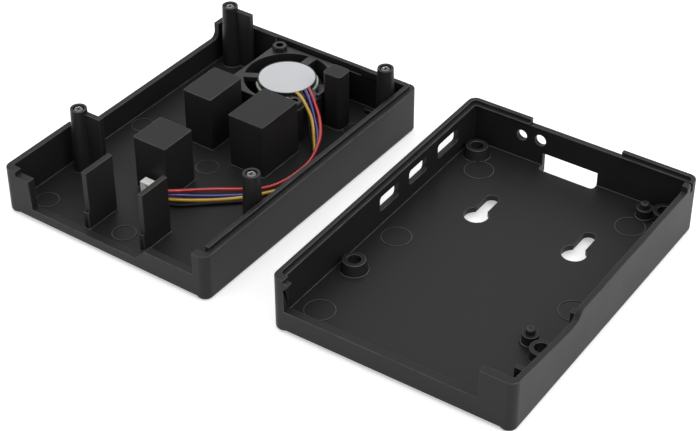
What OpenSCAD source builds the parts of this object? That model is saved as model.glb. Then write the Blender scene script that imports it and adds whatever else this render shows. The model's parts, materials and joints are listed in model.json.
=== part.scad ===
// Open single-board computer case: two die-cast shells side by side, with a small axial fan in the cover.
// Millimetres. Origin: centre of the base's underside. X runs from the card end to the open front.

/* [Case] */
// Length of each shell
case_length = 91; // [90:0.5:92]
// Width of each shell
case_width = 65.5; // [65:0.25:66.5]
// Radius of the upright corners
corner_radius = 2.3; // [2.2:0.1:3]
// Radius of the rounded edge round each outer face
edge_radius = 1.05; // [0.8:0.05:1.05]
// Thickness of the long side walls
wall = 1.6; // [1.5:0.05:1.8]
// Thickness of the wall at the open front
front_wall = 2.3; // [2.1:0.1:2.6]
// Width of the raised rim on a wall that takes the other shell's tongue
rim_width = 1.2; // [1.1:0.05:1.3]
// Height of the lap between rim and tongue
lap_height = 0.9; // [0.7:0.1:1.1]

/* [Base] */
// Height of the base's highest rim
base_height = 15.8; // [15.5:0.1:16.2]
// Top face of the base's floor
base_floor = 3.2; // [3:0.1:3.4]
// Depth of the recess under the floor
foot_recess = 1.5; // [1.2:0.1:1.6]
// How far the wall beside the pin header lies below the rim
header_wall_drop = 1.1; // [0.9:0.1:1.4]
// How far the dip in that wall lies below the rim
header_dip_drop = 3.4; // [3:0.1:3.8]
// How far the wall right of the front opening lies below the rim
front_return_drop = 1.2; // [1:0.1:1.5]
// Height of the sill under the front opening
base_sill = 6.5; // [6.2:0.1:6.8]
// Top of the bosses and shoulders that carry the board
board_seat = 6.2; // [6:0.1:6.4]
// Bore of the screw bosses
boss_bore = 3.5; // [3.3:0.1:3.7]
// Diameter of the locating pins' tips
pin_tip_diameter = 2.3; // [2.1:0.1:2.4]

/* [Cover] */
// Height of the cover's side walls
cover_height = 13.45; // [13.2:0.05:13.7]
// Inner face of the cover's roof
cover_floor = 2.2; // [2:0.1:2.4]
// Height of the cover wall beside the pin header
header_gap_height = 9.1; // [8.8:0.1:9.4]
// Height of the screw posts
post_height = 21; // [20.6:0.1:21.4]
// Diameter of the posts at the top
post_diameter = 4.4; // [4.2:0.1:4.8]
// Height of the two thin cooling fins
fin_height = 19; // [18.5:0.1:19.5]
// Height of the four heat blocks
block_height = 17.9; // [17.4:0.1:18.3]

/* [Fan] */
// Side length of the fan frame
fan_size = 25; // [24.8:0.1:25.2]
// Depth of the fan frame
fan_depth = 10; // [9.8:0.1:10.4]
// Distance between neighbouring screw holes
fan_hole_pitch = 20; // [19.8:0.1:20.2]
// Diameter of the fan's duct
duct_diameter = 23.6; // [23.4:0.1:23.8]
// Outer diameter of the rotor's hub
hub_diameter = 16; // [15.8:0.1:16.2]
// Number of blades
blade_count = 7; // [5:1:9]
// Diameter of the rotor's shaft
shaft_diameter = 1.5; // [1.4:0.1:1.6]
// Thread diameter of the fan's screws
fan_screw_diameter = 2; // [1.8:0.1:2.1]
// Gap between the blade tips and the duct
tip_gap = 0.5; // [0.4:0.05:0.7]

/* [Screws] */
// Thread diameter of the screws in the cover's posts
post_screw_diameter = 1.8; // [1.6:0.1:2]
// Head diameter of those screws
post_screw_head = 2.8; // [2.6:0.1:3]

/* [Wires] */
// Outer diameter of the fan's wires
wire_diameter = 0.95; // [0.85:0.05:1]
// Distance between neighbouring contacts in the plug
contact_pitch = 1.25; // [1.2:0.05:1.4]

/* [Hidden] */

// Smoothness of round features
fine = 64;
coarse = 32;
// Overlap used where solids join or cutters pass a face
over = 0.5;
// Clearance of a piece that is fitted or glued in place
fit_gap = 0.02;
// Running clearance between the shaft and its bearing
shaft_gap = 0.03;
// Clearance of a screw in a plain hole
hole_gap = 0.2;
// Clearance between rim and tongue when the case is closed
lap_gap = 0.2;

// Where the cover lies beside the base, and how far it is turned
cover_shift = [0, -81.6];
cover_turn = -1.3;

// Board position in the base, and its hole pattern
board_x = 3.4;
board_y = 2.4;
board_hole_inset = 3.5;
board_hole_span = [58, 49];
hole_x = board_x + board_hole_inset;
hole_y = board_y + board_hole_inset;
far_hole_x = hole_x + board_hole_span[0];
far_hole_y = hole_y + board_hole_span[1];

// Screw bosses in the base's header-wall side, and the posts that meet all four screws
wall_boss_x = [5.3, 68];
wall_boss_inset = 5.9;
wall_boss_y = case_width - wall_boss_inset;
screw_places = concat([for (x = wall_boss_x) [x, wall_boss_y]], [for (x = [hole_x, far_hole_x]) [x, hole_y]]);
post_places = [for (p = screw_places) [p[0], case_width - p[1]]];

// Heights of the base's wall tops
header_wall_height = base_height - header_wall_drop;
header_wall_dip = base_height - header_dip_drop;
front_return_height = base_height - front_return_drop;
card_wall_middle = base_height - 1.5;
tab_top = base_height + 0.4;
slit_bottom = base_height - 2.4;

// Openings in the base, measured from the board's seat and along the walls
front_opening = [3.5, case_width - 9.2];
card_wall_gap = [18.4, 44.6];
port_heights = [board_seat + 1.2, board_seat + 5.4];
port_spans = [[9.5, 19.6], [24.9, 33.4], [38.2, 46.9]];
card_slot_span = [22.6, 38.6];
light_hole = [16.1, board_seat + 4];
button_hole = [21.6, board_seat + 4.4];
keyhole_x = 29.7;
keyhole_y = [19.4, 47.4];
keyhole_run = 7.9;

// Heat blocks in the cover: corner, far corner, corner radius and height
heat_blocks = [[55.5, 22.6, 66.5, 33.1, 0.5, block_height], [29.2, 19.4, 42.6, 28.6, 0.5, block_height + 0.2],
               [29.6, 36.2, 44.8, 47.4, 0.5, block_height], [10.7, 45.3, 15.9, 51, 1.2, block_height + 1.2]];

// Ledge that the tongue rests on, and the tongue itself
ledge_width = rim_width + 1.05;
ledge_height = base_height - lap_height;
tongue_inset = rim_width + lap_gap;
tongue_width = 1.2;
collar_width = tongue_inset + tongue_width;
collar_depth = 1.2;
lip_width = 1.2;
// Corner blocks that join the straight runs of ledge and tongue
ledge_corner = max(corner_radius, ledge_width) + 0.2;
tongue_corner = max(corner_radius, collar_width);

// Fan position in the cover
fan_corner = [2.1, 20];
fan_centre = [fan_corner[0] + fan_size / 2, fan_corner[1] + fan_size / 2];
fan_top = cover_floor + fan_depth;

// Heights inside the fan, from its underside
disc_bottom = fan_depth - 1.4;
disc_top = fan_depth - 0.1;
disc_radius = 8.05;
label_radius = 7.7;
label_seat = disc_top - 0.3;
label_thickness = 0.25;
tray_top = disc_bottom + 0.5;
board_thickness = 0.8;
board_radius = disc_radius + 0.45;
hub_bottom = 0.5;
hub_top = disc_bottom - board_thickness - 0.6;
hub_plate = 0.8;
hub_wall = 0.5;
yoke_thickness = 0.4;
yoke_radius = hub_diameter / 2 - hub_wall - fit_gap;
magnet_radius = yoke_radius - yoke_thickness - fit_gap;
magnet_thickness = 0.7;
air_gap = 0.3;
core_radius = magnet_radius - magnet_thickness - air_gap;
core_bottom = 3.6;
core_height = 2.6;
tube_radius = 2.6;
tube_bottom = 3;
sleeve_radius = 1.9;
lip_depth = 0.3;
boss_radius = 1.8;
shaft_top = disc_top - 0.6;
groove_bottom = shaft_top - 0.5;
clip_thickness = 0.2;
duct_radius = duct_diameter / 2;
tip_radius = duct_radius - tip_gap;

// Plug on its narrow side beside the heat block, and where the wires enter it
plug_corner = [67.8, 27.2];
plug_length = 5.2;
plug_thickness = 2.4;
plug_margin = 1;
plug_height = 3 * contact_pitch + 2 * plug_margin;
plug_face_y = plug_corner[1] + plug_length;
plug_axis_x = plug_corner[0] + plug_thickness / 2;
chamber = 0.95;
chamber_end = plug_length - 1.5;
contact_size = chamber - 2 * fit_gap;
function contact_z(i) = plug_height - plug_margin - i * contact_pitch;

// Wire routes in the cover: resting height, then the points each wire passes
lying = cover_floor + wire_diameter / 2 + 0.05;
over_frame = fan_top + wire_diameter / 2 + 0.05;
on_tray = cover_floor + tray_top + wire_diameter / 2 + 0.03;
function entry(i) = [plug_axis_x, plug_face_y - 0.2, cover_floor + contact_z(i)];
function before_entry(i) = [plug_axis_x - 0.3, plug_face_y + 1.7, cover_floor + contact_z(i)];
red_route = [[15.3, 40.3, on_tray], [17, 42.4, on_tray], [19, 44.6, on_tray], [22.6, 49, 10.3],
             [26.8, 52.6, 8.4], [31.2, 54.6, 7.1], [36, 55.6, 5.8], [41, 55, 4.8], [46, 53.5, 4],
             [50.2, 50.7, 3.6], [54, 46.4, 3.8], [58.6, 42, 4.7], [63.2, 38.7, 5.8], [66.6, 36.5, 6.7],
             before_entry(0), entry(0)];
blue_route = [[16.6, 40.1, on_tray], [18.1, 41.9, on_tray], [20.1, 44, on_tray + 0.6], [23.2, 48.1, 9.2],
              [27, 51.9, 7], [31.4, 54.3, 5.7], [36.3, 55.6, 4.4], [41.4, 55.8, 3.4], [46.7, 54.4, lying],
              [51.2, 51.4, lying], [55, 47, lying], [59.3, 42.4, 3.2], [63.6, 38.9, 4.4], [66.8, 36.4, 5.5],
              before_entry(1), entry(1)];
black_route = [[18, 39.7, on_tray], [19.4, 41.3, on_tray], [21.1, 43.6, on_tray], [25, 47.6, 7.4],
               [28.8, 51.4, 4.3], [32, 53.6, 3.2], [37, 55.6, lying], [42, 57, lying],
               [47.8, 56.6, lying], [53.2, 53.4, lying], [57, 49, lying], [61.2, 44.1, lying],
               [64.9, 40, lying], [67.5, 37, 2.9], before_entry(3), entry(3)];
yellow_route = [[19.1, 39, on_tray], [20.7, 41.2, on_tray + 0.95], [22.4, 43.9, over_frame], [24.6, 48, 10.2],
                [27.4, 50.9, 6.2], [31.4, 54, 4.4], [36.4, 56.7, 3.7], [41.6, 57.7, 3.8], [46.6, 56, 3.9],
                [51.4, 52.7, 3.6], [55.8, 48.2, 2.9], [60.2, 43.1, lying], [64, 39.2, 3.3],
                [66.9, 36.5, 4.1], before_entry(2), entry(2)];

// Outlines and blocks used by both shells
module rounded(x0, y0, x1, y1, r) {
  translate([x0 + r, y0]) square([x1 - x0 - 2 * r, y1 - y0]);
  translate([x0, y0 + r]) square([x1 - x0, y1 - y0 - 2 * r]);
  for (x = [x0 + r, x1 - r], y = [y0 + r, y1 - r]) translate([x, y]) circle(r = r, $fn = coarse);
}

module slab(x0, y0, x1, y1, r, z0, z1) {
  translate([0, 0, z0]) linear_extrude(z1 - z0) rounded(x0, y0, x1, y1, r);
}

module box(x0, y0, z0, x1, y1, z1) {
  translate([x0, y0, z0]) cube([x1 - x0, y1 - y0, z1 - z0]);
}

module drum(x, y, z0, z1, r) {
  translate([x, y, z0]) cylinder(h = z1 - z0, r = r, $fn = fine);
}

module cone(x, y, z0, z1, r0, r1) {
  translate([x, y, z0]) cylinder(h = z1 - z0, r1 = r0, r2 = r1, $fn = fine);
}

// A profile drawn in X and Z, pulled along Y from y0 to y1
module along_y(y0, y1) {
  translate([0, y1, 0]) rotate([90, 0, 0]) linear_extrude(y1 - y0) children();
}

// A profile drawn in Y and Z, pulled along X from x0 to x1
module along_x(x0, x1) {
  translate([x0, 0, 0]) rotate([90, 0, 90]) linear_extrude(x1 - x0) children();
}

// Solid block with upright rounded corners and a rounded edge round its lower face
module pan_block(height) {
  slab(0, 0, case_length, case_width, corner_radius, edge_radius, height);
  slab(edge_radius, edge_radius, case_length - edge_radius, case_width - edge_radius,
       corner_radius - edge_radius, 0, height);
  for (y = [edge_radius, case_width - edge_radius])
    translate([corner_radius, y, edge_radius]) rotate([0, 90, 0])
      cylinder(h = case_length - 2 * corner_radius, r = edge_radius, $fn = coarse);
  for (x = [edge_radius, case_length - edge_radius])
    translate([x, corner_radius, edge_radius]) rotate([-90, 0, 0])
      cylinder(h = case_width - 2 * corner_radius, r = edge_radius, $fn = coarse);
  for (x = [corner_radius, case_length - corner_radius], y = [corner_radius, case_width - corner_radius])
    translate([x, y, edge_radius]) rotate_extrude($fn = coarse)
      translate([corner_radius - edge_radius, 0]) circle(r = edge_radius, $fn = coarse);
}

module cavity(floor_z) {
  slab(wall, wall, case_length - front_wall, case_width - wall, corner_radius - wall,
       floor_z, 3 * base_height);
}

// Round witness mark left by an ejector pin
module ejector_mark(x, y, r, z) {
  difference() {
    drum(x, y, z - over, z + 0.12, r);
    drum(x, y, z - 2 * over, z + 1, r - 0.3);
  }
}

module at_base() {
  translate([-case_length / 2, -case_width / 2, 0]) children();
}

module at_cover() {
  translate([-case_length / 2 + cover_shift[0], -case_width / 2 + cover_shift[1], 0])
    rotate([0, 0, cover_turn]) children();
}

module at_fan() {
  at_cover() translate([fan_centre[0], fan_centre[1], cover_floor]) children();
}

// Base shell
module base_wall_tops() {
  // Step down inside the rim, on the port wall and on both parts of the card wall
  slab(rim_width, rim_width, case_length - front_wall, case_width - rim_width, corner_radius - rim_width,
       ledge_height, 2 * base_height);
  // Lowered middle of the card wall
  box(-1, card_wall_gap[0], card_wall_middle, corner_radius, card_wall_gap[1], 2 * base_height);
  // Header wall with its dip, and the front return beside it
  along_y(case_width - 2 * corner_radius, case_width + 1) polygon([
    [6.3, header_wall_height], [59.6, header_wall_height], [60.6, header_wall_height - 0.3],
    [61.2, header_wall_height - 0.9], [61.8, header_wall_dip + 0.7], [62.5, header_wall_dip + 0.2],
    [63.6, header_wall_dip], [67, header_wall_dip + 0.05], [case_length - 3, front_return_height],
    [case_length + 1, front_return_height], [case_length + 1, 2 * base_height], [6.3, 2 * base_height]]);
  box(case_length - corner_radius - 2, front_opening[1], front_return_height,
      case_length + 1, case_width + 1, 2 * base_height);
  // Slit between the rim's rounded end and the tab at the corner
  box(3.4, case_width - wall - over, slit_bottom, 4.5, case_width + 1, 2 * base_height);
}

module base_ledge() {
  profile = [[wall - over, ledge_height], [ledge_width, ledge_height],
             [ledge_width, ledge_height - 0.5], [wall - over, ledge_height - collar_depth]];
  along_x(corner_radius, case_length - front_wall) polygon(profile);
  for (span = [[corner_radius, card_wall_gap[0]], [card_wall_gap[1], case_width - corner_radius]])
    along_y(span[0], span[1]) polygon(profile);
  // Ends of the ledge in the two card-side corners, and at the front
  for (y = [wall - over, case_width - ledge_corner])
    box(wall - over, y, ledge_height - 0.5, ledge_corner, y + ledge_corner - wall + over, ledge_height);
  box(case_length - front_wall - 1, wall - over, ledge_height - 0.5,
      case_length - front_wall + over, ledge_corner, ledge_height);
}

module screw_boss(x, y) {
  cone(x, y, base_floor - over, board_seat, 3.75, 2.9);
}

module locating_pin(x, y) {
  cone(x, y, base_floor - over, base_floor + 0.6, 2.75, 2.3);
  drum(x, y, base_floor - over, board_seat, 2.05);
  drum(x, y, board_seat - over, board_seat + 1.2, pin_tip_diameter / 2);
  cone(x, y, board_seat + 1.2, board_seat + 1.5, pin_tip_diameter / 2, pin_tip_diameter / 2 - 0.3);
}

module wall_boss(x) {
  drum(x, wall_boss_y, base_floor - over, board_seat, 2.9);
  box(x - 2.9, wall_boss_y, base_floor - over, x + 2.9, case_width - wall + over, board_seat);
}

module keyhole(x, y) {
  drum(x, y, -over, base_floor + 1, 3.2);
  drum(x - keyhole_run, y, -over, base_floor + 1, 1.7);
  box(x - keyhole_run, y - 1.7, -over, x, y + 1.7, base_floor + 1);
}

module port_slot(span) {
  along_y(-1, ledge_width + 1) rounded(span[0], port_heights[0], span[1], port_heights[1], 1);
}

module base_shell() {
  color([0.055, 0.055, 0.058]) at_base() difference() {
    union() {
      difference() {
        pan_block(base_height);
        cavity(base_floor);
        base_wall_tops();
        // Front opening above its sill
        box(case_length - 2 * front_wall, front_opening[0], base_sill, case_length + 1, front_opening[1],
            2 * base_height);
      }
      base_ledge();
      // Tab beside the slit in the header wall
      box(4.5, case_width - wall - 0.2, header_wall_height - 2, 6.3, case_width - 0.15, tab_top);
      // Latch nub on the left edge of the front opening
      along_x(case_length - 1.6, case_length - 0.1) translate([front_opening[0], base_height])
        polygon([[-0.3, -3.6], [1.5, -1.2], [1.5, -0.8], [-0.3, -0.8]]);
      // Ribs inside the header wall
      for (rib = [[case_length - 8.1, case_length - 6.6, 4.15], [59.4, 61, 2.9]])
        box(rib[0], case_width - rib[2], base_floor - over, rib[1], case_width - wall + over, slit_bottom);
      for (x = [hole_x, far_hole_x]) {
        screw_boss(x, hole_y);
        locating_pin(x, far_hole_y);
      }
      for (x = wall_boss_x) wall_boss(x);
      for (m = [[12.8, 10.1], [48.6, 7.6], [case_length - 8.5, 7.9], [12.6, 54], [49.2, 58]])
        ejector_mark(m[0], m[1], 4, base_floor);
    }
    // Recess under the floor
    difference() {
      slab(2.6, 2.6, case_length - 2.6, case_width - 2.6, 1.5, -over, foot_recess);
      for (p = screw_places) drum(p[0], p[1], -1, foot_recess + over, 3.9);
    }
    // Screw holes with a step for the head underneath
    for (p = screw_places) {
      drum(p[0], p[1], -over, 2 * board_seat, boss_bore / 2);
      drum(p[0], p[1], -over, 1.2, 3.1);
    }
    for (y = keyhole_y) keyhole(keyhole_x, y);
    for (span = port_spans) port_slot(span);
    // Card slot through the end wall, open below, with a finger notch in the floor
    slab(-2, card_slot_span[0], 3.7, card_slot_span[1], 1, -over, board_seat + 0.7);
    // Openings for the status light and the button
    for (hole = [[light_hole, 4, 1.5], [button_hole, 4, 1.6], [button_hole, 1.4, 2.2]])
      translate([-1, hole[0][0], hole[0][1]]) rotate([0, 90, 0])
        cylinder(h = hole[1], r = hole[2], $fn = coarse);
  }
}

// Cover shell, lying on its roof
module cover_wall_tops() {
  // Low stretch beside the pin header, with a rounded step at its card end
  along_y(-1, corner_radius + 1) difference() {
    translate([5.6, header_gap_height]) square([60.4, 2 * cover_height]);
    difference() {
      translate([5.6, header_gap_height - 1]) square([2, 3]);
      translate([7.6, header_gap_height + 2]) circle(r = 2, $fn = coarse);
    }
  }
  // Front edge: two returns and two bays with a slope between them
  along_x(case_length - 2 * front_wall, case_length + 1) polygon([
    [4.2, 2 * cover_height], [4.2, cover_height - 1.35], [8.5, cover_height - 1.35], [8.8, 3.6],
    [43, 3.6], [46, 7], [case_width - 4.2, 7], [case_width - 4.2, 2 * cover_height]]);
  // Thinned middle of the card wall
  box(lip_width, 19, cover_height - 1.95, corner_radius, 48, 2 * cover_height);
}

module cover_tongue() {
  base_z = cover_height - collar_depth;
  profile = [[case_width - wall + over, base_z - 1.4], [case_width - collar_width, base_z],
             [case_width - collar_width, cover_height + lap_height],
             [case_width - tongue_inset, cover_height + lap_height],
             [case_width - tongue_inset, cover_height - over],
             [case_width - wall + over, cover_height - over]];
  along_x(corner_radius, case_length - 3.4) polygon(profile);
  along_y(48.5, case_width - corner_radius) polygon([for (p = profile) [case_width - p[0], p[1]]]);
  // Rounded corner of the tongue
  intersection() {
    slab(tongue_inset, 0, case_length, case_width - tongue_inset, corner_radius - tongue_inset,
         base_z, cover_height + lap_height);
    box(0, case_width - tongue_corner, 0, tongue_corner, case_width, 2 * cover_height);
  }
}

module post(x, y) {
  difference() {
    cone(x, y, cover_floor - over, post_height, post_diameter / 2 + 0.6, post_diameter / 2);
    drum(x, y, post_height - 10, post_height + 1, post_screw_diameter / 2 + fit_gap);
    drum(x, y, post_height - 1, post_height + 1, post_screw_head / 2 + 0.15);
  }
}

module fin(x0, x1, y0, y1) {
  box(x0, y0, cover_floor - over, x1, y1, fin_height);
  box(x1 - over, y0, cover_floor - over, x1 + 0.6, y1, cover_floor + 5);
}

module air_grille() {
  pitch = 3.5;
  for (i = [-3:3], j = [-3:3]) {
    x = pitch * (i + j / 2);
    y = pitch * j * sqrt(3) / 2;
    if (norm([x, y]) < duct_radius - 1.2) drum(x, y, -1, cover_floor + 1, 1.3);
  }
}

module cover_shell() {
  color([0.055, 0.055, 0.058]) at_cover() difference() {
    union() {
      difference() {
        pan_block(cover_height);
        cavity(cover_floor);
        cover_wall_tops();
      }
      cover_tongue();
      for (p = post_places) post(p[0], p[1]);
      // Ribs that stiffen the two posts beside the header wall
      for (x = wall_boss_x) difference() {
        box(x - 1.4, wall_boss_inset, cover_floor - over, x + 0.1, wall_boss_inset + 7, post_height - 1.2);
        drum(x, wall_boss_inset, post_height - 10, post_height + 1, 1.8);
      }
      fin(case_length - 14.2, case_length - 4.3, 23.3, 24.9);
      fin(case_length - 14.9, case_length - 5.3, 40.6, 42.1);
      for (b = heat_blocks) slab(b[0], b[1], b[2], b[3], b[4], cover_floor - over, b[5]);
      // Small ridge and plate near the tongue
      box(3.7, 51.6, cover_floor - over, 5.2, 54.2, cover_floor + 1.6);
      box(56, 55.6, cover_floor - over, 57.2, case_width - wall + over, cover_floor + 3.5);
      for (m = [[case_length - 6.7, 7.7], [case_length - 7.5, 32.9], [49.4, 32.2], [44.2, 5.6], [13.2, 53.8]])
        ejector_mark(m[0], m[1], 3.2, cover_floor);
    }
    translate([fan_centre[0], fan_centre[1], 0]) {
      air_grille();
      for (p = screw_corners) {
        drum(p[0], p[1], -1, cover_floor + 1, fan_screw_diameter / 2 + hole_gap);
        cone(p[0], p[1], -0.1, 1.3, fan_head_radius + 0.35, fan_screw_diameter / 2 + hole_gap);
      }
    }
  }
}

corner_holes = [for (x = [-1, 1], y = [-1, 1]) [x * fan_hole_pitch / 2, y * fan_hole_pitch / 2]];
screw_corners = [corner_holes[0], corner_holes[3]];
fan_head_radius = fan_screw_diameter / 2 + 0.9;

// Fan
module fan_frame() {
  color([0.07, 0.07, 0.075]) at_fan() difference() {
    union() {
      difference() {
        slab(-fan_size / 2, -fan_size / 2, fan_size / 2, fan_size / 2, 2.2, 0, fan_depth);
        drum(0, 0, -1, fan_depth + 1, duct_radius);
        // Flat recesses in the four sides between the corners
        for (a = [0:90:270]) rotate([0, 0, a])
          box(fan_size / 2 - 0.35, -6.5, 1.8, fan_size, 6.5, fan_depth - 1.8);
      }
      drum(0, 0, disc_bottom, disc_top, disc_radius);
      drum(0, 0, tube_bottom, disc_bottom + over, tube_radius);
      rotate([0, 0, 180]) box(disc_radius - 1, -1.25, disc_bottom, duct_radius + over, 1.25, fan_depth);
      rotate([0, 0, -60]) box(disc_radius - 1, -1.05, disc_bottom, duct_radius + over, 1.05, fan_depth);
      // Wide low strut that the wires lie on
      rotate([0, 0, 66]) box(disc_radius - 1, -3.6, disc_bottom, duct_radius + over, 3.6, tray_top);
    }
    drum(0, 0, label_seat, fan_depth + 1, label_radius + 0.1);
    drum(0, 0, tube_bottom + lip_depth, fan_depth + 1, sleeve_radius);
    drum(0, 0, tube_bottom - 1, fan_depth + 1, boss_radius - 0.6);
    for (p = corner_holes) drum(p[0], p[1], -1, fan_depth + 1, fan_screw_diameter / 2 + hole_gap);
    // Notch in the rim where the wires leave
    box(2.6, 9, tray_top, 7.2, fan_size, fan_depth + 1);
  }
}

// One blade: a thin sheet wound round the hub
function blade_point(i, radius, side) =
  let (a = 46 * i / 6 - 20, t = side * 0.32 * (1 - 0.5 * i / 6) * 57.3 / radius)
  [radius * cos(a + t), radius * sin(a + t), hub_bottom + 0.3 + (hub_top - hub_bottom - 0.6) * i / 6];

module blade() {
  rings = [for (i = [0:6]) each [blade_point(i, hub_diameter / 2 - 0.3, -1), blade_point(i, tip_radius, -1),
                                  blade_point(i, tip_radius, 1), blade_point(i, hub_diameter / 2 - 0.3, 1)]];
  sides = [for (i = [0:5], k = [0:3]) let (a = 4 * i + k, b = 4 * i + (k + 1) % 4) each
           [[a, a + 4, b + 4], [a, b + 4, b]]];
  polyhedron(points = rings, faces = concat([[0, 1, 2], [0, 2, 3]], sides, [[24, 26, 25], [24, 27, 26]]));
}

module fan_impeller() {
  color([0.08, 0.08, 0.085]) at_fan() difference() {
    union() {
      drum(0, 0, hub_bottom, hub_top, hub_diameter / 2);
      for (k = [0:blade_count - 1]) rotate([0, 0, k * 360 / blade_count]) blade();
    }
    difference() {
      drum(0, 0, hub_bottom + hub_plate, hub_top + 1, hub_diameter / 2 - hub_wall);
      drum(0, 0, 0, hub_bottom + hub_plate + 1.2, boss_radius);
    }
    drum(0, 0, hub_bottom + 0.3, hub_top, shaft_diameter / 2 + fit_gap);
  }
}

module rotor_yoke() {
  color([0.55, 0.56, 0.58]) at_fan() difference() {
    drum(0, 0, hub_bottom + hub_plate, hub_top - 0.2, yoke_radius);
    drum(0, 0, hub_bottom + hub_plate + yoke_thickness, hub_top, yoke_radius - yoke_thickness);
    drum(0, 0, 0, hub_top, boss_radius + 0.1);
  }
}

module rotor_magnet() {
  color([0.2, 0.19, 0.18]) at_fan() difference() {
    drum(0, 0, hub_bottom + hub_plate + yoke_thickness, hub_top - 0.3, magnet_radius);
    drum(0, 0, 0, hub_top, magnet_radius - magnet_thickness);
  }
}

module rotor_shaft() {
  color([0.75, 0.76, 0.78]) at_fan() difference() {
    union() {
      drum(0, 0, hub_bottom + 0.3, shaft_top - 0.15, shaft_diameter / 2);
      cone(0, 0, shaft_top - 0.15, shaft_top, shaft_diameter / 2, shaft_diameter / 2 - 0.15);
    }
    difference() {
      drum(0, 0, groove_bottom, groove_bottom + clip_thickness + 0.04, shaft_diameter);
      drum(0, 0, 0, fan_depth, shaft_diameter / 2 - 0.2);
    }
  }
}

module shaft_clip() {
  color([0.8, 0.8, 0.78]) at_fan() difference() {
    drum(0, 0, groove_bottom + 0.02, groove_bottom + 0.02 + clip_thickness, sleeve_radius - 0.4);
    drum(0, 0, 0, fan_depth, shaft_diameter / 2 - 0.2 + fit_gap);
    box(0, -0.4, 0, 3, 0.4, fan_depth);
  }
}

module bearing_sleeve() {
  color([0.72, 0.55, 0.25]) at_fan() difference() {
    drum(0, 0, tube_bottom + lip_depth, groove_bottom - 0.2, sleeve_radius - fit_gap);
    drum(0, 0, 0, fan_depth, shaft_diameter / 2 + shaft_gap);
  }
}

module stator_core() {
  color([0.45, 0.45, 0.47]) at_fan() translate([0, 0, core_bottom]) difference() {
    linear_extrude(core_height) {
      circle(r = tube_radius + 0.9, $fn = fine);
      for (a = [0:90:270]) rotate(a) {
        translate([tube_radius, -0.7]) square([core_radius - tube_radius - 0.6, 1.4]);
        intersection() {
          difference() {
            circle(r = core_radius, $fn = fine);
            circle(r = core_radius - 0.8, $fn = fine);
          }
          polygon([[0, 0], [8, -5], [8, 5]]);
        }
      }
    }
    drum(0, 0, -1, core_height + 1, tube_radius + fit_gap);
  }
}

module stator_windings() {
  color([0.62, 0.3, 0.12]) at_fan() for (a = [0:90:270]) rotate([0, 0, a]) difference() {
    box(tube_radius + 1, -1.35, core_bottom - 0.5, core_radius - 1.1, 1.35, core_bottom + core_height + 0.5);
    box(0, -0.72, core_bottom - 0.02, 8, 0.72, core_bottom + core_height + 0.02);
  }
}

module fan_circuit_board() {
  color([0.1, 0.32, 0.16]) at_fan() difference() {
    drum(0, 0, disc_bottom - board_thickness, disc_bottom, board_radius);
    drum(0, 0, 0, fan_depth, tube_radius + 0.1);
  }
}

module fan_label() {
  color([0.72, 0.73, 0.75]) at_fan() drum(0, 0, label_seat, label_seat + label_thickness, label_radius);
}

module fan_screws() {
  color([0.06, 0.06, 0.065]) at_fan() for (p = screw_corners)
    translate([p[0], p[1], -cover_floor]) difference() {
    union() {
      drum(0, 0, 0.2, fan_top + 1.2, fan_screw_diameter / 2);
      cone(0, 0, 0.2, 1.2, fan_head_radius, fan_screw_diameter / 2);
    }
    // Cross recess
    for (a = [0, 90]) rotate([0, 0, a]) box(-1.1, -0.2, 0, 1.1, 0.2, 0.8);
  }
}

module fan_nuts() {
  color([0.05, 0.05, 0.055]) at_fan() for (p = screw_corners)
    translate([p[0], p[1], fan_depth]) difference() {
    union() {
      cylinder(h = 1.3, r = 2.1, $fn = 6);
      drum(0, 0, 1, 1.5, 1.75);
    }
    drum(0, 0, -1, 2, fan_screw_diameter / 2 + fit_gap);
  }
}

// Screws held in the cover's posts
module cover_screws() {
  color([0.7, 0.71, 0.73]) at_cover() for (p = post_places)
    translate([p[0], p[1], post_height - 1]) difference() {
    union() {
      drum(0, 0, -6.5, 0.2, post_screw_diameter / 2);
      cone(0, 0, -7, -6.5, post_screw_diameter / 2 - 0.4, post_screw_diameter / 2);
      drum(0, 0, 0, 0.5, post_screw_head / 2);
      cone(0, 0, 0.5, 0.8, post_screw_head / 2, post_screw_head / 2 - 0.45);
    }
    for (a = [20, 110]) rotate([0, 0, a]) box(-0.8, -0.17, 0.2, 0.8, 0.17, 2);
  }
}

// Wires: a smooth curve through the route points, two rings for each span
function curve(p, i, t) =
  let (n = len(p) - 1, a = p[max(i - 1, 0)], b = p[i], c = p[min(i + 1, n)], d = p[min(i + 2, n)])
  0.5 * (2 * b + (c - a) * t + (2 * a - 5 * b + 4 * c - d) * t * t + (3 * b - a - 3 * c + d) * t * t * t);
function smooth(p) = [for (i = [0:len(p) - 2]) each (i % 3 == 1 ? [p[i], curve(p, i, 0.5)] : [p[i]]),
                      p[len(p) - 1]];
function heading(p, i) =
  let (v = p[min(i + 1, len(p) - 1)] - p[max(i - 1, 0)]) v / norm(v);
function ring(centre, dir, r) =
  let (side = cross([0, 0, 1], dir) / norm(cross([0, 0, 1], dir)), up = cross(dir, side))
  [for (k = [0:7]) centre + r * (cos(45 * k + 22.5) * side + sin(45 * k + 22.5) * up)];

module wire(route) {
  path = smooth(route);
  count = len(path);
  points = [for (i = [0:count - 1]) each ring(path[i], heading(path, i), wire_diameter / 2)];
  sides = [for (i = [0:count - 2], k = [0:7]) let (a = 8 * i + k, b = 8 * i + (k + 1) % 8) each
           [[a, a + 8, b + 8], [a, b + 8, b]]];
  start = [for (k = [1:6]) [0, k, k + 1]];
  finish = [for (k = [1:6]) [8 * (count - 1), 8 * (count - 1) + k + 1, 8 * (count - 1) + k]];
  polyhedron(points = points, faces = concat(start, sides, finish));
}

module wire_red() {
  color([0.75, 0.08, 0.06]) at_cover() wire(red_route);
}

module wire_blue() {
  color([0.08, 0.1, 0.45]) at_cover() wire(blue_route);
}

module wire_black() {
  color([0.04, 0.04, 0.045]) at_cover() wire(black_route);
}

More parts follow.
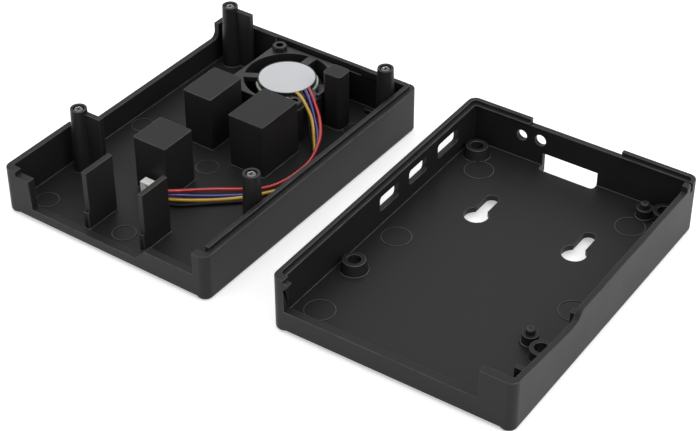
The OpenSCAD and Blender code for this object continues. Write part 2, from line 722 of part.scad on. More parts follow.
module wire_yellow() {
  color([0.85, 0.62, 0.06]) at_cover() wire(yellow_route);
}

module plug_housing() {
  color([0.9, 0.9, 0.88]) at_cover() translate([plug_corner[0], plug_corner[1], cover_floor]) difference() {
    union() {
      box(0, 0, 0, plug_thickness, plug_length, plug_height);
      // Low key ridge along the face turned to the block
      box(-0.35, 0, plug_height / 2 - 1.2, over, plug_length - 1.2, plug_height / 2 + 1.2);
    }
    // Chambers for the contacts, with a window for each contact's latch
    for (i = [0:3]) {
      x = plug_thickness / 2;
      box(x - chamber / 2, -1, contact_z(i) - chamber / 2,
          x + chamber / 2, chamber_end, contact_z(i) + chamber / 2);
      box(x, 1.6, contact_z(i) - 0.3, plug_thickness + 1, 3.2, contact_z(i) + 0.3);
    }
  }
}

module plug_contacts() {
  color([0.8, 0.78, 0.7]) at_cover() for (i = [0:3])
    translate([plug_axis_x, plug_corner[1], cover_floor + contact_z(i)]) difference() {
      box(-contact_size / 2, 0.6, -contact_size / 2, contact_size / 2, chamber_end, contact_size / 2);
      box(-contact_size / 2 + 0.15, 0, -contact_size / 2 + 0.15, contact_size / 2 - 0.15, chamber_end - 0.8,
          contact_size / 2 - 0.15);
    }
}

base_shell();
cover_shell();
fan_frame();
fan_impeller();
rotor_yoke();
rotor_magnet();
rotor_shaft();
shaft_clip();
bearing_sleeve();
stator_core();
stator_windings();
fan_circuit_board();
fan_label();
fan_screws();
fan_nuts();
cover_screws();
wire_red();
wire_blue();
wire_black();
wire_yellow();
plug_housing();
plug_contacts();
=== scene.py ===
"""Looks of an open single-board computer case.

Two black castings lie side by side on a plain stage, one of them with a small fan and its wires.
"""

import json
import logging
import math
from dataclasses import dataclass
from enum import Enum

import bmesh
import bpy
from mathutils import Matrix, Vector

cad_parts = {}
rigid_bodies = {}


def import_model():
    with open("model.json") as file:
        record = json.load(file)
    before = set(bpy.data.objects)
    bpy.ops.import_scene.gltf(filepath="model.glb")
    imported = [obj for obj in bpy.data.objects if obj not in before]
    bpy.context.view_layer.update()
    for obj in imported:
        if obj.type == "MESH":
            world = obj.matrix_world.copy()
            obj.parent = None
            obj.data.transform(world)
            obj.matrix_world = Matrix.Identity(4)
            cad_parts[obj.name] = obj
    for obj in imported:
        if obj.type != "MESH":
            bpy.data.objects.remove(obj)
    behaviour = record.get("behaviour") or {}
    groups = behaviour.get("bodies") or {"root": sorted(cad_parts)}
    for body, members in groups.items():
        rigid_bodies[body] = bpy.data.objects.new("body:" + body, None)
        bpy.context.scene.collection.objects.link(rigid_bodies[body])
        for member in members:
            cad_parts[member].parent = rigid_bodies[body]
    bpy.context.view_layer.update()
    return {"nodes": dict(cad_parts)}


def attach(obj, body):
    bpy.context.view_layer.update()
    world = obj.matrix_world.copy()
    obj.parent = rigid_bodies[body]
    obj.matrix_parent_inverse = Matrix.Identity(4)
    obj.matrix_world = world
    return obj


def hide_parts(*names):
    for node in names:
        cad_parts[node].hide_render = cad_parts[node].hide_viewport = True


for leftover in list(bpy.data.objects):
    bpy.data.objects.remove(leftover)

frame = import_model()

LOG = logging.getLogger("case")
Colour = tuple[float, float, float]
Point = tuple[float, float, float]

MM = 0.001
WHITE = (1.0, 1.0, 1.0, 1.0)

# The face-corner attribute that marks broken edges for a painted highlight with some wear, and its
# value on the low ring marks of a floor, which get a slightly weaker painted highlight.
HIGHLIT_EDGE = "highlit_worn_edge"
RING_HIGHLIGHT = 0.8

# The colour of settled dust, the part of the mottle's range that changes the gloss, and the
# smoothest that any finish gets.
DUST_COLOUR = (0.45, 0.44, 0.42)
GLOSS_BAND = (0.3, 0.7)
SMOOTHEST = 0.03

# A floor height below every piece, for pieces that have no floor of their own.
NO_FLOOR = -1.0

# Heights of a wire's centre in the cover, in millimetres: on its floor, over the fan's frame, and
# on the tray at the hub's edge where the wires come out.
LYING, OVER_FRAME, ON_TRAY = 2.725, 12.725, 11.805


class Body(Enum):
    """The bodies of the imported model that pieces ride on."""

    CASE = "case"
    ROTOR = "fan_rotor"


@dataclass(frozen=True)
class CoverPlace:
    """Where the cover lies beside the base, as the solids have it."""

    origin: tuple[float, float] = (-45.5, -114.35)
    turn_deg: float = -1.3

    def matrix(self) -> Matrix:
        """Return the move from the cover's own millimetres to the row frame in metres."""
        shift = Matrix.Translation((self.origin[0] * MM, self.origin[1] * MM, 0))
        return shift @ Matrix.Rotation(math.radians(self.turn_deg), 4, "Z") @ Matrix.Scale(MM, 4)

    def point(self, place: Point) -> Vector:
        """Return one point of the cover in the row frame, in metres."""
        return self.matrix() @ Vector(place)


COVER = CoverPlace()


class Sockets:
    """Makes a shader node group with named inputs and outputs."""

    def __init__(self, name: str, inputs: dict[str, float], outputs: list[str]) -> None:
        """Start a group.

        Args:
            name: The group's name.
            inputs: Names of the value inputs with their defaults.
            outputs: Names of the value outputs.
        """
        self.tree = bpy.data.node_groups.new(name, "ShaderNodeTree")
        sides = self.tree.interface
        for label, value in inputs.items():
            socket = sides.new_socket(label, in_out="INPUT", socket_type="NodeSocketFloat")
            socket.default_value = value
        for label in outputs:
            sides.new_socket(label, in_out="OUTPUT", socket_type="NodeSocketFloat")
        self.start = self.tree.nodes.new("NodeGroupInput")
        self.end = self.tree.nodes.new("NodeGroupOutput")

    def node(self, kind: str, **settings: object) -> bpy.types.Node:
        """Add a node and set its own properties.

        Args:
            kind: The node's type.
            **settings: Its properties by name.

        Returns:
            The new node.
        """
        made = self.tree.nodes.new(kind)
        for key, value in settings.items():
            setattr(made, key, value)
        return made

    def link(self, source: bpy.types.NodeSocket, target: bpy.types.NodeSocket) -> None:
        """Join two sockets."""
        self.tree.links.new(source, target)

    def maths(self, operation: str, first: object, second: object) -> bpy.types.NodeSocket:
        """Add a Math node.

        Args:
            operation: The node's operation.
            first: A socket or a number.
            second: A socket or a number.

        Returns:
            The result's socket.
        """
        made = self.node("ShaderNodeMath", operation=operation)
        for socket, value in zip(made.inputs, (first, second)):
            if isinstance(value, (int, float)):
                socket.default_value = value
            else:
                self.link(value, socket)
        return made.outputs[0]

    def noise(self, scale: str, detail: float = 2.0, roughness: float = 0.5) -> bpy.types.NodeSocket:
        """Add noise that lies still on the piece.

        Args:
            scale: The group input that says how many waves there are to a metre.
            detail: How many finer layers it has.
            roughness: How strong the finer layers are.

        Returns:
            The noise, from 0 to 1.
        """
        place = self.node("ShaderNodeTexCoord")
        made = self.node("ShaderNodeTexNoise")
        made.inputs["Detail"].default_value = detail
        made.inputs["Roughness"].default_value = roughness
        self.link(place.outputs["Object"], made.inputs["Vector"])
        self.link(self.start.outputs[scale], made.inputs["Scale"])
        return made.outputs["Fac"]

    def upward(self) -> bpy.types.NodeSocket:
        """Add nodes that say how far the surface looks up.

        Returns:
            The height of its normal, from -1 to 1.
        """
        shape = self.node("ShaderNodeNewGeometry")
        parts = self.node("ShaderNodeSeparateXYZ")
        self.link(shape.outputs["Normal"], parts.inputs["Vector"])
        return parts.outputs["Z"]

    def ramp(
        self, value: bpy.types.NodeSocket, start: float, end: float, lowest: float
    ) -> bpy.types.NodeSocket:
        """Map a value to a range that ends at 1.

        Args:
            value: The value's socket.
            start: The value that gives the lowest result.
            end: The value that gives 1.
            lowest: The lowest result.

        Returns:
            The result's socket.
        """
        made = self.node("ShaderNodeMapRange")
        for label, number in (("From Min", start), ("From Max", end), ("To Min", lowest)):
            made.inputs[label].default_value = number
        self.link(value, made.inputs["Value"])
        return made.outputs["Result"]


class Effects:
    """The surface effects that several finishes share."""

    def __init__(self) -> None:
        """Build each group once."""
        self.grain = self._grain()
        self.edge_highlight_and_wear = self._edge_highlight_and_wear()
        self.dust = self._dust()

    @staticmethod
    def _grain() -> bpy.types.NodeTree:
        """Build fine coat or mould grain.

        Returns:
            A group with a height and a slow mottle, both from 0 to 1.
        """
        inputs = {"Grain per metre": 3000.0, "Mottle per metre": 90.0}
        g = Sockets("surface_grain", inputs, ["Height", "Mottle"])
        g.link(g.noise("Grain per metre", detail=3.0, roughness=0.6), g.end.inputs["Height"])
        g.link(g.noise("Mottle per metre", detail=4.0), g.end.inputs["Mottle"])
        return g.tree

    @staticmethod
    def _edge_highlight_and_wear() -> bpy.types.NodeTree:
        """Build broken edges painted lighter: a painted highlight, with patches of handling wear.

        Returns:
            A group with a mask that is patchy, and weak on edges that don't look up, because the
            painted highlight stands for light from above.
        """
        g = Sockets("edge_highlight_and_wear", {"Amount": 0.5, "Patches per metre": 300.0}, ["Mask"])
        edges = g.node("ShaderNodeAttribute", attribute_name=HIGHLIT_EDGE)
        worn = g.ramp(g.noise("Patches per metre"), start=0.3, end=0.65, lowest=0.35)
        lit_from_above = g.ramp(g.upward(), start=0.1, end=0.6, lowest=0.12)
        broken = g.maths("MULTIPLY", edges.outputs["Fac"], worn)
        topmost = g.maths("MULTIPLY", broken, lit_from_above)
        mask = g.maths("MULTIPLY", topmost, g.start.outputs["Amount"])
        g.link(mask, g.end.inputs["Mask"])
        return g.tree

    @staticmethod
    def _dust() -> bpy.types.NodeTree:
        """Build faint dust.

        Returns:
            A group with a mask of specks on faces that look up.
        """
        g = Sockets("settled_dust", {"Amount": 0.1, "Specks per metre": 900.0}, ["Mask"])
        up = g.maths("MAXIMUM", g.upward(), 0.0)
        patchy = g.maths("MULTIPLY", up, g.noise("Specks per metre", detail=8.0))
        mask = g.maths("MULTIPLY", patchy, g.start.outputs["Amount"])
        g.link(mask, g.end.inputs["Mask"])
        return g.tree


@dataclass(frozen=True)
class Finish:
    """One surface finish and the name of its slot."""

    name: str
    slot: str
    colour: Colour
    roughness: float
    metallic: float = 0.0
    specular: float = 0.5
    mottle: float = 0.12
    roughness_spread: float = 0.08
    grain_per_metre: float = 3000.0
    grain_mm: float = 0.006
    # The next two fields paint broken edges lighter: a painted highlight, with some wear.
    highlight_and_rub: float = 0.3
    highlight_and_rub_colour: Colour = (0.16, 0.16, 0.165)
    dust: float = 0.03
    coat: float = 0.0

    def build(self, effects: Effects) -> bpy.types.Material:
        """Build the finish as a node material.

        Args:
            effects: The shared groups.

        Returns:
            The new material.
        """
        made = bpy.data.materials.new(self.name)
        made.use_nodes = True
        tree = made.node_tree
        shader = tree.nodes["Principled BSDF"]
        shader.inputs["Metallic"].default_value = self.metallic
        shader.inputs["Specular IOR Level"].default_value = self.specular
        shader.inputs["Coat Weight"].default_value = self.coat
        grain = self._group(tree, effects.grain, {"Grain per metre": self.grain_per_metre})
        highlight_and_rub = self._group(tree, effects.edge_highlight_and_wear, {"Amount": self.highlight_and_rub})
        dust = self._group(tree, effects.dust, {"Amount": self.dust})
        light = tuple(min(1.0, part * (1 + self.mottle)) for part in self.colour)
        dark = tuple(part * (1 - self.mottle) for part in self.colour)
        mottled = self._mix(tree, grain.outputs["Mottle"], dark, light)
        # Broken edges are painted lighter here: a painted highlight, with some wear.
        highlit_and_rubbed = self._mix(tree, highlight_and_rub.outputs["Mask"], mottled, self.highlight_and_rub_colour)
        dusted = self._mix(tree, dust.outputs["Mask"], highlit_and_rubbed, DUST_COLOUR)
        tree.links.new(dusted, shader.inputs["Base Color"])
        gloss = tree.nodes.new("ShaderNodeMapRange")
        gloss.inputs["From Min"].default_value, gloss.inputs["From Max"].default_value = GLOSS_BAND
        gloss.inputs["To Min"].default_value = max(SMOOTHEST, self.roughness - self.roughness_spread)
        gloss.inputs["To Max"].default_value = min(1.0, self.roughness + self.roughness_spread)
        tree.links.new(grain.outputs["Mottle"], gloss.inputs["Value"])
        tree.links.new(gloss.outputs["Result"], shader.inputs["Roughness"])
        bump = tree.nodes.new("ShaderNodeBump")
        bump.inputs["Strength"].default_value = 1.0
        bump.inputs["Distance"].default_value = self.grain_mm * MM
        tree.links.new(grain.outputs["Height"], bump.inputs["Height"])
        tree.links.new(bump.outputs["Normal"], shader.inputs["Normal"])
        return made

    @staticmethod
    def _group(
        tree: bpy.types.NodeTree, group: bpy.types.NodeTree, values: dict[str, float]
    ) -> bpy.types.Node:
        """Place a shared group with its own values.

        Args:
            tree: The material's nodes.
            group: The shared group.
            values: Its inputs by name.

        Returns:
            The group's node.
        """
        made = tree.nodes.new("ShaderNodeGroup")
        made.node_tree = group
        for label, value in values.items():
            made.inputs[label].default_value = value
        return made

    @staticmethod
    def _mix(
        tree: bpy.types.NodeTree, factor: bpy.types.NodeSocket, first: object, second: object
    ) -> bpy.types.NodeSocket:
        """Mix two colours by a mask.

        Args:
            tree: The material's nodes.
            factor: The mask.
            first: Colour or socket where the mask is 0.
            second: Colour or socket where the mask is 1.

        Returns:
            The mixed colour's socket.
        """
        made = tree.nodes.new("ShaderNodeMix")
        made.data_type = "RGBA"
        sockets = {socket.identifier: socket for socket in (*made.inputs, *made.outputs)}
        tree.links.new(factor, made.inputs["Factor"])
        for label, value in (("A_Color", first), ("B_Color", second)):
            if isinstance(value, tuple):
                sockets[label].default_value = (*value, 1.0)
            else:
                tree.links.new(value, sockets[label])
        return sockets["Result_Color"]


# Its broken edges, the feet of its walls and its floor rings are painted lighter: a painted
# highlight.
CASTING = Finish(
    "black_coated_casting", "black_shell", (0.0142, 0.0142, 0.0147), roughness=0.45, specular=0.2,
    mottle=0.06, roughness_spread=0.02, grain_per_metre=5200.0, grain_mm=0.004,
    highlight_and_rub=0.5, highlight_and_rub_colour=(0.15, 0.15, 0.15), dust=0.005,
)
FAN_PLASTIC = Finish(
    "fan_black_plastic", "fan_plastic", (0.012, 0.012, 0.013), roughness=0.36,
    grain_per_metre=6000.0, grain_mm=0.003, highlight_and_rub=0.35, highlight_and_rub_colour=(0.08, 0.08, 0.08), dust=0.01,
)
BARE_STEEL = Finish(
    "bare_steel", "steel", (0.46, 0.465, 0.48), roughness=0.22, metallic=1.0,
    mottle=0.06, grain_per_metre=9000.0, grain_mm=0.002, highlight_and_rub=0.2, highlight_and_rub_colour=(0.8, 0.8, 0.82),
)
# The broken rims of the screw heads are painted light at full strength: a painted glint.
SCREW_STEEL = Finish(
    "dull_screw_steel", "steel", (0.15, 0.151, 0.155), roughness=0.3, metallic=1.0,
    mottle=0.2, grain_per_metre=9000.0, grain_mm=0.003, highlight_and_rub=1.0, highlight_and_rub_colour=(0.8, 0.8, 0.82),
)
BLACK_STEEL = Finish(
    "black_oxide_steel", "black_steel", (0.03, 0.03, 0.032), roughness=0.34, metallic=0.6,
    grain_per_metre=9000.0, grain_mm=0.002, highlight_and_rub=0.5,
)
FERRITE = Finish(
    "bonded_ferrite", "magnet", (0.05, 0.047, 0.045), roughness=0.7, grain_mm=0.01, highlight_and_rub=0.1,
)
CLIP_NYLON = Finish(
    "clip_nylon", "clip_plastic", (0.72, 0.71, 0.66), roughness=0.45, highlight_and_rub_colour=(0.8, 0.8, 0.78),
)
BRONZE = Finish(
    "sintered_bronze", "bearing_bronze", (0.5, 0.33, 0.14), roughness=0.45, metallic=1.0,
    grain_mm=0.008,
)
COPPER = Finish(
    "lacquered_copper", "copper_wire", (0.6, 0.24, 0.09), roughness=0.3, metallic=1.0,
    grain_per_metre=5000.0,
)
LAMINATE = Finish(
    "board_laminate", "board", (0.5, 0.62, 0.54), roughness=0.4, coat=0.3,
    highlight_and_rub_colour=(0.7, 0.75, 0.7),
)
LABEL_FILM = Finish(
    "bare_label_film", "label", (0.56, 0.57, 0.59), roughness=0.42, mottle=0.05,
    grain_per_metre=4000.0, grain_mm=0.002, highlight_and_rub=0.2, highlight_and_rub_colour=(0.5, 0.5, 0.5), dust=0.02,
)
WHITE_NYLON = Finish(
    "white_nylon", "plug", (0.78, 0.78, 0.75), roughness=0.42, mottle=0.04,
    highlight_and_rub_colour=(0.9, 0.9, 0.88),
)


class WireColour(Enum):
    """Insulation colours of the four fan wires."""

    RED = (0.4, 0.008, 0.008)
    BLUE = (0.025, 0.025, 0.19)
    BLACK = (0.008, 0.008, 0.0085)
    YELLOW = (0.5, 0.29, 0.015)

    def finish(self) -> Finish:
        """Choose this colour's insulation, glossy but for the duller black.

        Returns:
            The finish.
        """
        slot = f"wire_{self.name.lower()}"
        return Finish(
            f"{slot}_insulation", slot, self.value, roughness=0.24,
            specular=0.1 if self is WireColour.BLACK else 0.75,
            mottle=0.1, grain_per_metre=2500.0, grain_mm=0.004,
            highlight_and_rub=0.15, highlight_and_rub_colour=tuple(min(1.0, part * 1.8 + 0.02) for part in self.value),
        )


@dataclass
class Dresser:
    """Turns CAD nodes into finished pieces.

    The sizes say which edges of a casting are broken: its outer edges from lip_from_deg, and the
    inner edges of walls, posts and blocks on the floor from foot_from_deg. A mark on the floor
    that is less than deep_from_mm high or deep keeps its own edges.
    """

    effects: Effects
    merge_m: float = 2e-6
    flat_within_deg: float = 0.6
    lip_from_deg: float = 38.0
    foot_from_deg: float = 60.0
    deep_from_mm: float = 0.5
    floor_band_mm: tuple[float, float] = (-0.02, 0.15)
    ring_band_mm: tuple[float, float] = (0.1, 0.14)
    looks_up_from: float = 0.9
    bevel_steps: int = 2
    face_weight: int = 100

    def __post_init__(self) -> None:
        """Keep each finish's material for reuse."""
        self.made: dict[str, bpy.types.Material] = {}

    def material(self, finish: Finish) -> bpy.types.Material:
        """Build a finish's material on its first use.

        Args:
            finish: The finish.

        Returns:
            Its one material.
        """
        if finish.name not in self.made:
            self.made[finish.name] = finish.build(self.effects)
        return self.made[finish.name]

    def paint(self, piece: bpy.types.Object, finish: Finish) -> None:
        """Give a piece one finish."""
        piece.data.materials.clear()
        piece.data.materials.append(self.material(finish))

    def dress(self, node: str, finish: Finish) -> None:
        """Give a carried-over CAD node its finish."""
        self.paint(frame["nodes"][node], finish)
        LOG.info("%s dressed in %s", node, finish.name)

    def softened(
        self, node: str, name: str, finish: Finish, body: Body, width_mm: float,
        floor_mm: float = NO_FLOOR,
    ) -> bpy.types.Object:
        """Stand a copy with broken edges in for a CAD node.

        Args:
            node: The CAD node.
            name: The new piece's name.
            finish: Its finish.
            body: The body it rides on.
            width_mm: Width of the broken edges.
            floor_mm: Height of a floor whose low marks keep their own edges.

        Returns:
            The new piece.
        """
        mesh = self.weighed(frame["nodes"][node].data, name, floor_mm)
        for _ in ("faces", "broken edges"):
            mesh.materials.append(self.material(finish))
        piece = bpy.data.objects.new(name, mesh)
        bpy.context.scene.collection.objects.link(piece)
        self.break_edges(piece, width_mm)
        self.mark_edges(piece.data, floor_mm)
        self.paint(piece, finish)
        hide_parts(node)
        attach(piece, body.value)
        LOG.info("%s stands for %s, %d faces", name, node, len(piece.data.polygons))
        return piece

    def weighed(self, source: bpy.types.Mesh, name: str, floor_mm: float) -> bpy.types.Mesh:
        """Copy a CAD mesh, join its flat faces, and weigh the edges that get broken.

        Args:
            source: The CAD node's mesh.
            name: The copy's name.
            floor_mm: Height of a floor whose low marks keep their own edges.

        Returns:
            The copy.
        """
        mesh = bpy.data.meshes.new(name)
        work = bmesh.new()
        work.from_mesh(source)
        bmesh.ops.remove_doubles(work, verts=work.verts, dist=self.merge_m)
        flat = math.radians(self.flat_within_deg)
        bmesh.ops.dissolve_limit(work, angle_limit=flat, verts=work.verts, edges=work.edges)
        weights = work.edges.layers.float.new("bevel_weight_edge")
        low, high = ((floor_mm + level) * MM for level in self.floor_band_mm)
        deep = self.deep_from_mm * MM
        lip_turn, foot_turn = math.radians(self.lip_from_deg), math.radians(self.foot_from_deg)
        for edge in work.edges:
            turn = edge.calc_face_angle_signed(0.0) if edge.is_manifold else 0.0
            on_floor = all(low < vert.co.z < high for vert in edge.verts)
            levels = [vert.co.z for face in edge.link_faces for vert in face.verts]
            foot = on_floor and turn < -foot_turn and max(levels) > high + deep
            lip = turn > lip_turn and (not on_floor or min(levels) < low - deep)
            edge[weights] = 1.0 if foot or lip else 0.0
            edge.smooth = abs(turn) < lip_turn
        for face in work.faces:
            face.smooth = True
        work.to_mesh(mesh)
        work.free()
        return mesh

    def break_edges(self, piece: bpy.types.Object, width_mm: float) -> None:
        """Break a piece's weighed edges into the second material slot, and keep its faces flat.

        Args:
            piece: The piece.
            width_mm: Width of the broken edges.
        """
        edge = piece.modifiers.new("broken_edges", "BEVEL")
        edge.width = width_mm * MM
        edge.segments = self.bevel_steps
        edge.limit_method = "WEIGHT"
        edge.use_clamp_overlap = False
        edge.material = 1
        even = piece.modifiers.new("flat_faces_stay_flat", "WEIGHTED_NORMAL")
        even.mode = "FACE_AREA"
        even.weight = self.face_weight
        even.keep_sharp = True
        bpy.context.view_layer.update()
        shaped = piece.evaluated_get(bpy.context.evaluated_depsgraph_get())
        baked = bpy.data.meshes.new_from_object(shaped)
        piece.modifiers.clear()
        piece.data = baked

    def mark_edges(self, mesh: bpy.types.Mesh, floor_mm: float) -> None:
        """Mark the broken edges, and the low ring marks on a floor, for their painted highlight and
        wear; this paints light lines on outer edges, at the feet of walls and on the rings.

        Args:
            mesh: The mesh, with its broken edges in the second slot.
            floor_mm: Height of the floor.
        """
        low, high = ((floor_mm + level) * MM for level in self.ring_band_mm)
        marks = mesh.attributes.new(HIGHLIT_EDGE, "FLOAT", "CORNER")
        for face in mesh.polygons:
            ring = low < face.center.z < high and face.normal.z > self.looks_up_from
            value = 1.0 if face.material_index == 1 else RING_HIGHLIGHT if ring else 0.0
            for corner in face.loop_indices:
                marks.data[corner].value = value
            face.material_index = 0


@dataclass
class Shells:
    """The two castings and the screws in the cover's posts."""

    edge_mm: float = 0.14
    screw_edge_mm: float = 0.05
    base_floor_mm: float = 3.2
    cover_floor_mm: float = 2.2

    def build(self, dresser: Dresser) -> None:
        """Make the castings and screws with their broken edges.

        Args:
            dresser: Makes and finishes each piece.
        """
        for node, name, finish, width_mm, floor_mm in (
            ("base_shell", "base_casting", CASTING, self.edge_mm, self.base_floor_mm),
            ("cover_shell", "cover_casting", CASTING, self.edge_mm, self.cover_floor_mm),
            ("cover_screws", "post_screws", SCREW_STEEL, self.screw_edge_mm, NO_FLOOR),
        ):
            dresser.softened(node, name, finish, Body.CASE, width_mm, floor_mm)


@dataclass
class Fan:
    """The axial fan and its fasteners."""

    frame_edge_mm: float = 0.1
    blade_edge_mm: float = 0.06
    nut_edge_mm: float = 0.08

    def build(self, dresser: Dresser) -> None:
        """Finish every piece of the fan.

        Args:
            dresser: Makes and finishes each piece.
        """
        for node, name, finish, body, width_mm in (
            ("fan_frame", "fan_housing", FAN_PLASTIC, Body.CASE, self.frame_edge_mm),
            ("fan_impeller", "fan_blades", FAN_PLASTIC, Body.ROTOR, self.blade_edge_mm),
            ("fan_nuts", "fan_corner_nuts", BLACK_STEEL, Body.CASE, self.nut_edge_mm),
        ):
            dresser.softened(node, name, finish, body, width_mm)
        for node, finish in (
            ("rotor_yoke", BARE_STEEL),
            ("rotor_magnet", FERRITE),
            ("rotor_shaft", BARE_STEEL),
            ("shaft_clip", CLIP_NYLON),
            ("bearing_sleeve", BRONZE),
            ("stator_core", BARE_STEEL),
            ("stator_windings", COPPER),
            ("fan_circuit_board", LAMINATE),
            ("fan_label", LABEL_FILM),
            ("fan_screws", BLACK_STEEL),
        ):
            dresser.dress(node, finish)


@dataclass
class Wire:
    """One insulated wire that runs from the fan to the plug."""

    colour: WireColour
    route: list[Point]
    diameter_mm: float = 0.95
    steps_per_span: int = 6
    round_steps: int = 4

    def line(self) -> list[Vector]:
        """Draw one smooth centreline through the route's points.

        Returns:
            Its points in the row frame, in metres.
        """
        p = [COVER.point(q) for q in self.route]
        last = len(p) - 1
        points: list[Vector] = []
        for i in range(last):
            a, b, c, d = p[max(i - 1, 0)], p[i], p[i + 1], p[min(i + 2, last)]
            for step in range(self.steps_per_span):
                t = step / self.steps_per_span
                points.append(0.5 * (2 * b + (c - a) * t + (2 * a - 5 * b + 4 * c - d) * t * t
                                     + (3 * b - a - 3 * c + d) * t ** 3))
        return points + [p[last]]

    def build(self, dresser: Dresser, plug: list[bpy.types.Object]) -> bpy.types.Object:
        """Make the wire as a round tube along its route.

        Args:
            dresser: Gives the wire its finish.
            plug: The pieces of the plug at the wire's end; not used.

        Returns:
            The wire.
        """
        points = self.line()
        name = f"{self.colour.name.lower()}_wire"
        data = bpy.data.curves.new(name, "CURVE")
        data.dimensions = "3D"
        data.bevel_depth = self.diameter_mm * MM / 2
        data.bevel_resolution = self.round_steps
        data.use_fill_caps = True
        spline = data.splines.new("POLY")
        spline.points.add(len(points) - 1)
        for target, place in zip(spline.points, points):
            target.co = (*place, 1.0)
        spline.use_smooth = True
        piece = bpy.data.objects.new(name, data)
        bpy.context.scene.collection.objects.link(piece)
        finish = self.colour.finish()
        data.materials.append(dresser.material(finish))
        node = f"wire_{self.colour.name.lower()}"
        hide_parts(node)
        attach(piece, Body.CASE.value)
        return piece


@dataclass
class Harness:
    """The four wires from the fan's hub and their plug, in the cover's millimetres."""

    plug_edge_mm: float = 0.1
    before_plug: tuple[float, float] = (68.7, 34.1)
    inside_plug: tuple[float, float] = (69.0, 32.2)
    top_contact_mm: float = 6.95
    contact_pitch_mm: float = 1.25

    def entry(self, contact: int) -> list[Point]:
        """Return a route's last two points, before and inside the plug, for one contact."""
        height = self.top_contact_mm - self.contact_pitch_mm * contact
        return [(*self.before_plug, height), (*self.inside_plug, height)]

    def wires(self) -> list[Wire]:
        """Lay out the wires along the routes of the solids.

        Returns:
            The four wires.
        """
        return [
            Wire(WireColour.RED, [
                (15.3, 40.3, ON_TRAY), (17, 42.4, ON_TRAY), (19, 44.6, ON_TRAY), (22.6, 49, 10.3),
                (26.8, 52.6, 8.4), (31.2, 54.6, 7.1), (36, 55.6, 5.8), (41, 55, 4.8),
                (46, 53.5, 4), (50.2, 50.7, 3.6), (54, 46.4, 3.8), (58.6, 42, 4.7),
                (63.2, 38.7, 5.8), (66.6, 36.5, 6.7), *self.entry(0)]),
            Wire(WireColour.BLUE, [
                (16.6, 40.1, ON_TRAY), (18.1, 41.9, ON_TRAY), (20.1, 44, ON_TRAY + 0.6),
                (23.2, 48.1, 9.2), (27, 51.9, 7), (31.4, 54.3, 5.7), (36.3, 55.6, 4.4),
                (41.4, 55.8, 3.4), (46.7, 54.4, LYING), (51.2, 51.4, LYING), (55, 47, LYING),
                (59.3, 42.4, 3.2), (63.6, 38.9, 4.4), (66.8, 36.4, 5.5), *self.entry(1)]),
            Wire(WireColour.BLACK, [
                (18, 39.7, ON_TRAY), (19.4, 41.3, ON_TRAY), (21.1, 43.6, ON_TRAY), (25, 47.6, 7.4),
                (28.8, 51.4, 4.3), (32, 53.6, 3.2), (37, 55.6, LYING), (42, 57, LYING),
                (47.8, 56.6, LYING), (53.2, 53.4, LYING), (57, 49, LYING), (61.2, 44.1, LYING),
                (64.9, 40, LYING), (67.5, 37, 2.9), *self.entry(3)]),
            Wire(WireColour.YELLOW, [
                (19.1, 39, ON_TRAY), (20.7, 41.2, ON_TRAY + 0.95), (22.4, 43.9, OVER_FRAME),
                (24.6, 48, 10.2), (27.4, 50.9, 6.2), (31.4, 54, 4.4), (36.4, 56.7, 3.7),
                (41.6, 57.7, 3.8), (46.6, 56, 3.9), (51.4, 52.7, 3.6), (55.8, 48.2, 2.9),
                (60.2, 43.1, LYING), (64, 39.2, 3.3), (66.9, 36.5, 4.1), *self.entry(2)]),
        ]

    def build(self, dresser: Dresser) -> None:
        """Make the plug and all four wires.

        Args:
            dresser: Makes and finishes each piece.
        """
        edge_mm = self.plug_edge_mm
        plug = dresser.softened("plug_housing", "plug_body", WHITE_NYLON, Body.CASE, edge_mm)
        dresser.dress("plug_contacts", BARE_STEEL)
        for wire in self.wires():
            wire.build(dresser, [plug, frame["nodes"]["plug_contacts"]])


@dataclass(frozen=True)
class Lamp:
    """One soft square lamp, in metres and watts."""

    name: str
    place: Point
    side: float
    power: float


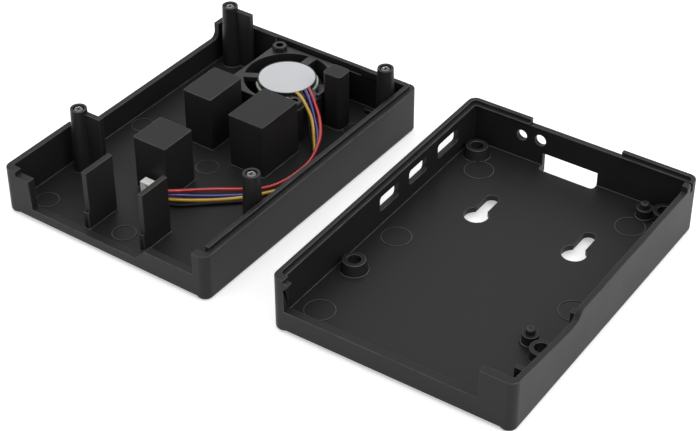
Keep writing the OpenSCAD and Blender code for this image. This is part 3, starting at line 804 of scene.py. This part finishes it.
@dataclass
class Studio:
    """Floor, light and camera."""

    target_mm: Point = (-1.24, -42.04, 0.0)
    back: Point = (0.6592, 0.4469, 0.6047)
    distance_mm: float = 472.6
    lens_mm: float = 95.08
    sensor_mm: float = 36.0
    roll_deg: float = -0.17
    sight_m: tuple[float, float] = (0.01, 20.0)
    world_level: float = 0.7
    floor_colour: Colour = (0.9, 0.9, 0.9)
    floor_roughness: float = 0.8
    floor_lift: float = 0.42
    floor_half_m: float = 3.0
    floor_drop_m: float = 0.00002
    aim_m: Point = (0.0, -0.04, 0.0)
    lamps: tuple[Lamp, ...] = (
        Lamp("key", (0.1, 0.7, 0.75), side=0.5, power=3.0),
        Lamp("top", (-0.1, -0.2, 0.9), side=0.8, power=2.0),
    )

    @staticmethod
    def seen(tree: bpy.types.NodeTree) -> bpy.types.NodeSocket:
        """Mask the rays that show the background: seen, mirrored or through a clear piece.

        Args:
            tree: The nodes that get the mask.

        Returns:
            The mask, 1 for those rays.
        """
        rays = tree.nodes.new("ShaderNodeLightPath")
        mask = rays.outputs["Is Camera Ray"]
        for label in ("Is Glossy Ray", "Is Transmission Ray"):
            either = tree.nodes.new("ShaderNodeMath")
            either.operation = "MAXIMUM"
            tree.links.new(mask, either.inputs[0])
            tree.links.new(rays.outputs[label], either.inputs[1])
            mask = either.outputs[0]
        return mask

    def camera(self) -> None:
        """Set the camera at the photograph's place."""
        data = bpy.data.cameras.new("camera")
        data.lens = self.lens_mm
        data.sensor_width = self.sensor_mm
        data.clip_start, data.clip_end = self.sight_m
        made = bpy.data.objects.new("camera", data)
        bpy.context.scene.collection.objects.link(made)
        back = Vector(self.back).normalized()
        made.location = Vector(self.target_mm) * MM + back * self.distance_mm * MM
        turn = (-back).to_track_quat("-Z", "Y").to_matrix().to_4x4()
        roll = Matrix.Rotation(math.radians(self.roll_deg), 4, "Z")
        made.matrix_world = Matrix.Translation(made.location) @ turn @ roll
        bpy.context.scene.camera = made

    def floor(self) -> None:
        """Lay a plain white floor that keeps the object's shadow."""
        mesh = bpy.data.meshes.new("floor")
        work = bmesh.new()
        bmesh.ops.create_grid(work, x_segments=2, y_segments=2, size=self.floor_half_m)
        work.to_mesh(mesh)
        work.free()
        piece = bpy.data.objects.new("floor", mesh)
        piece.location = (0, 0, -self.floor_drop_m)
        bpy.context.scene.collection.objects.link(piece)
        finish = bpy.data.materials.new("white_floor")
        finish.use_nodes = True
        tree = finish.node_tree
        shader = tree.nodes["Principled BSDF"]
        shader.inputs["Base Color"].default_value = (*self.floor_colour, 1.0)
        shader.inputs["Roughness"].default_value = self.floor_roughness
        shader.inputs["Emission Color"].default_value = WHITE
        lift = tree.nodes.new("ShaderNodeMath")
        lift.operation = "MULTIPLY"
        lift.inputs[1].default_value = self.floor_lift
        tree.links.new(self.seen(tree), lift.inputs[0])
        tree.links.new(lift.outputs[0], shader.inputs["Emission Strength"])
        mesh.materials.append(finish)

    def world(self) -> None:
        """Light everything softly from all round, and show white behind."""
        made = bpy.data.worlds.new("studio")
        bpy.context.scene.world = made
        made.use_nodes = True
        tree = made.node_tree
        light = tree.nodes["Background"]
        light.inputs["Color"].default_value = WHITE
        light.inputs["Strength"].default_value = self.world_level
        white = tree.nodes.new("ShaderNodeBackground")
        white.inputs["Color"].default_value = WHITE
        white.inputs["Strength"].default_value = 1.0
        mix = tree.nodes.new("ShaderNodeMixShader")
        tree.links.new(self.seen(tree), mix.inputs["Fac"])
        tree.links.new(light.outputs[0], mix.inputs[1])
        tree.links.new(white.outputs[0], mix.inputs[2])
        tree.links.new(mix.outputs[0], tree.nodes["World Output"].inputs["Surface"])

    def hang(self, lamp: Lamp) -> None:
        """Hang a lamp that looks at the object.

        Args:
            lamp: The lamp.
        """
        data = bpy.data.lights.new(lamp.name, "AREA")
        data.size = lamp.side
        data.energy = lamp.power
        made = bpy.data.objects.new(lamp.name, data)
        made.location = lamp.place
        aim = Vector(self.aim_m) - Vector(lamp.place)
        made.rotation_mode = "QUATERNION"
        made.rotation_quaternion = aim.to_track_quat("-Z", "Y")
        bpy.context.scene.collection.objects.link(made)

    def build(self) -> None:
        """Set the stage."""
        self.camera()
        self.floor()
        self.world()
        for lamp in self.lamps:
            self.hang(lamp)
        bpy.context.scene.view_settings.view_transform = "Standard"


def main() -> None:
    """Build the stage, the wires, the castings and the fan, in that order."""
    logging.basicConfig(level=logging.INFO, format="%(message)s")
    dresser = Dresser(Effects())
    Studio().build()
    Harness().build(dresser)
    Shells().build(dresser)
    Fan().build(dresser)


if __name__ == "__main__":
    main()
